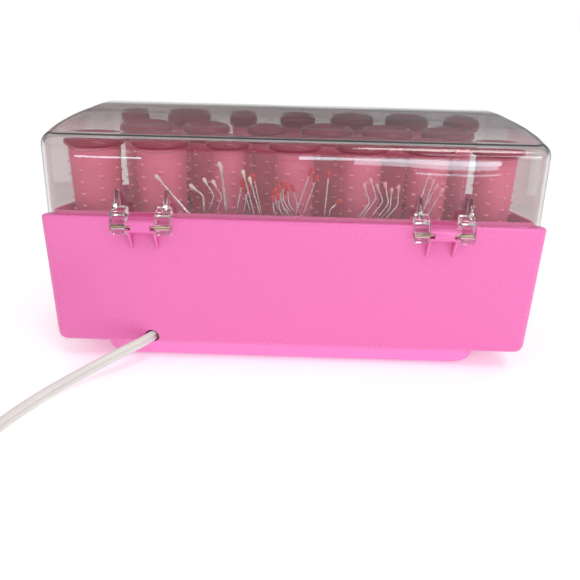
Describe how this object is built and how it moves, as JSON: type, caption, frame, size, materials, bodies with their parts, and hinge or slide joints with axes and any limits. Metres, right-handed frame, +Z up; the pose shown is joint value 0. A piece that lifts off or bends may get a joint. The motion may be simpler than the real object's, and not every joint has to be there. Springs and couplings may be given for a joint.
{
  "type": "heated roller set",
  "caption": "Heated hair roller set: tapered tub on a plinth, clear hinged lid, rollers standing on heated posts, pin trough and flat mains lead",
  "frame": {"origin": "centre of the bounding box's bottom, on the resting plane under the feet, measured without the lead", "axes": "+Z up, +X along the long side, -Y is the rear with the hinges and the lead, +Y the user's side"},
  "size_m": [0.473, 0.3605, 0.169],
  "materials": {
    "pink_plastic": "glossy moulded pink plastic",
    "black_rubber": "matte black rubber",
    "screw_steel": "zinc plated steel",
    "deck_plastic": "satin plum pink plastic",
    "lens_red": "clear red lens",
    "aluminium": "plain turned aluminium",
    "element_steel": "heat tinted steel sheath",
    "thermostat_body": "phenolic body",
    "black_plastic": "matte black plastic",
    "wire_sleeve": "braided white sleeve",
    "clear_plastic": "clear polystyrene, slightly grey",
    "pin_wire": "plated spring wire with beads",
    "lead_sheath": "off-white flexible sheath",
    "roller_pink": "dusty rose plastic with nubs",
    "cap_crimson": "glossy crimson plastic"
  },
  "bodies": {
    "base": {"base_shell": "pink_plastic", "bottom_cover": "pink_plastic", "rubber_feet": "black_rubber", "cover_screws": "screw_steel", "roller_deck": "deck_plastic", "ready_light": "lens_red", "heater_plate": "aluminium", "heating_posts": "aluminium", "heater_element": "element_steel", "thermostat": "thermostat_body", "cord_clamp": "black_plastic", "wiring": "wire_sleeve", "hinge_pins": "screw_steel", "hair_pins": "pin_wire", "power_cord": "lead_sheath", "cord_coil": "lead_sheath", "plug": "lead_sheath"},
    "lid": {"lid": "clear_plastic"},
    "roller_01": {"roller_01_barrel": "roller_pink", "roller_01_cap": "cap_crimson"},
    "roller_02": {"roller_02_barrel": "roller_pink", "roller_02_cap": "cap_crimson"},
    "roller_03": {"roller_03_barrel": "roller_pink", "roller_03_cap": "cap_crimson"},
    "roller_04": {"roller_04_barrel": "roller_pink", "roller_04_cap": "cap_crimson"},
    "roller_05": {"roller_05_barrel": "roller_pink", "roller_05_cap": "cap_crimson"},
    "roller_06": {"roller_06_barrel": "roller_pink", "roller_06_cap": "cap_crimson"},
    "roller_07": {"roller_07_barrel": "roller_pink", "roller_07_cap": "cap_crimson"},
    "roller_08": {"roller_08_barrel": "roller_pink", "roller_08_cap": "cap_crimson"},
    "roller_09": {"roller_09_barrel": "roller_pink", "roller_09_cap": "cap_crimson"},
    "roller_10": {"roller_10_barrel": "roller_pink", "roller_10_cap": "cap_crimson"},
    "roller_11": {"roller_11_barrel": "roller_pink", "roller_11_cap": "cap_crimson"},
    "roller_12": {"roller_12_barrel": "roller_pink", "roller_12_cap": "cap_crimson"},
    "roller_13": {"roller_13_barrel": "roller_pink", "roller_13_cap": "cap_crimson"},
    "roller_14": {"roller_14_barrel": "roller_pink", "roller_14_cap": "cap_crimson"},
    "roller_15": {"roller_15_barrel": "roller_pink", "roller_15_cap": "cap_crimson"},
    "roller_16": {"roller_16_barrel": "roller_pink", "roller_16_cap": "cap_crimson"},
    "roller_17": {"roller_17_barrel": "roller_pink", "roller_17_cap": "cap_crimson"},
    "roller_18": {"roller_18_barrel": "roller_pink", "roller_18_cap": "cap_crimson"},
    "roller_19": {"roller_19_barrel": "roller_pink", "roller_19_cap": "cap_crimson"},
    "roller_20": {"roller_20_barrel": "roller_pink", "roller_20_cap": "cap_crimson"}
  },
  "joints": [
    {"name": "lid_hinge", "type": "hinge", "parent": "base", "child": "lid", "pos_m": [0, -0.1012, 0.1065], "axis": [1, 0, 0], "range_deg": [0, 105]},
    {"name": "roller_01_lift", "type": "slide", "parent": "base", "child": "roller_01", "axis": [0, 0, 1], "range_m": [0, 0.0005]},
    {"name": "roller_02_lift", "type": "slide", "parent": "base", "child": "roller_02", "axis": [0, 0, 1], "range_m": [0, 0.0005]},
    {"name": "roller_03_lift", "type": "slide", "parent": "base", "child": "roller_03", "axis": [0, 0, 1], "range_m": [0, 0.0005]},
    {"name": "roller_04_lift", "type": "slide", "parent": "base", "child": "roller_04", "axis": [0, 0, 1], "range_m": [0, 0.0005]},
    {"name": "roller_05_lift", "type": "slide", "parent": "base", "child": "roller_05", "axis": [0, 0, 1], "range_m": [0, 0.0005]},
    {"name": "roller_06_lift", "type": "slide", "parent": "base", "child": "roller_06", "axis": [0, 0, 1], "range_m": [0, 0.0005]},
    {"name": "roller_07_lift", "type": "slide", "parent": "base", "child": "roller_07", "axis": [0, 0, 1], "range_m": [0, 0.0005]},
    {"name": "roller_08_lift", "type": "slide", "parent": "base", "child": "roller_08", "axis": [0, 0, 1], "range_m": [0, 0.0005]},
    {"name": "roller_09_lift", "type": "slide", "parent": "base", "child": "roller_09", "axis": [0, 0, 1], "range_m": [0, 0.0005]},
    {"name": "roller_10_lift", "type": "slide", "parent": "base", "child": "roller_10", "axis": [0, 0, 1], "range_m": [0, 0.0005]},
    {"name": "roller_11_lift", "type": "slide", "parent": "base", "child": "roller_11", "axis": [0, 0, 1], "range_m": [0, 0.0005]},
    {"name": "roller_12_lift", "type": "slide", "parent": "base", "child": "roller_12", "axis": [0, 0, 1], "range_m": [0, 0.0005]},
    {"name": "roller_13_lift", "type": "slide", "parent": "base", "child": "roller_13", "axis": [0, 0, 1], "range_m": [0, 0.0005]},
    {"name": "roller_14_lift", "type": "slide", "parent": "base", "child": "roller_14", "axis": [0, 0, 1], "range_m": [0, 0.0005]},
    {"name": "roller_15_lift", "type": "slide", "parent": "base", "child": "roller_15", "axis": [0, 0, 1], "range_m": [0, 0.0005]},
    {"name": "roller_16_lift", "type": "slide", "parent": "base", "child": "roller_16", "axis": [0, 0, 1], "range_m": [0, 0.0005]},
    {"name": "roller_17_lift", "type": "slide", "parent": "base", "child": "roller_17", "axis": [0, 0, 1], "range_m": [0, 0.0005]},
    {"name": "roller_18_lift", "type": "slide", "parent": "base", "child": "roller_18", "axis": [0, 0, 1], "range_m": [0, 0.0005]},
    {"name": "roller_19_lift", "type": "slide", "parent": "base", "child": "roller_19", "axis": [0, 0, 1], "range_m": [0, 0.0005]},
    {"name": "roller_20_lift", "type": "slide", "parent": "base", "child": "roller_20", "axis": [0, 0, 1], "range_m": [0, 0.0005]}
  ]
}
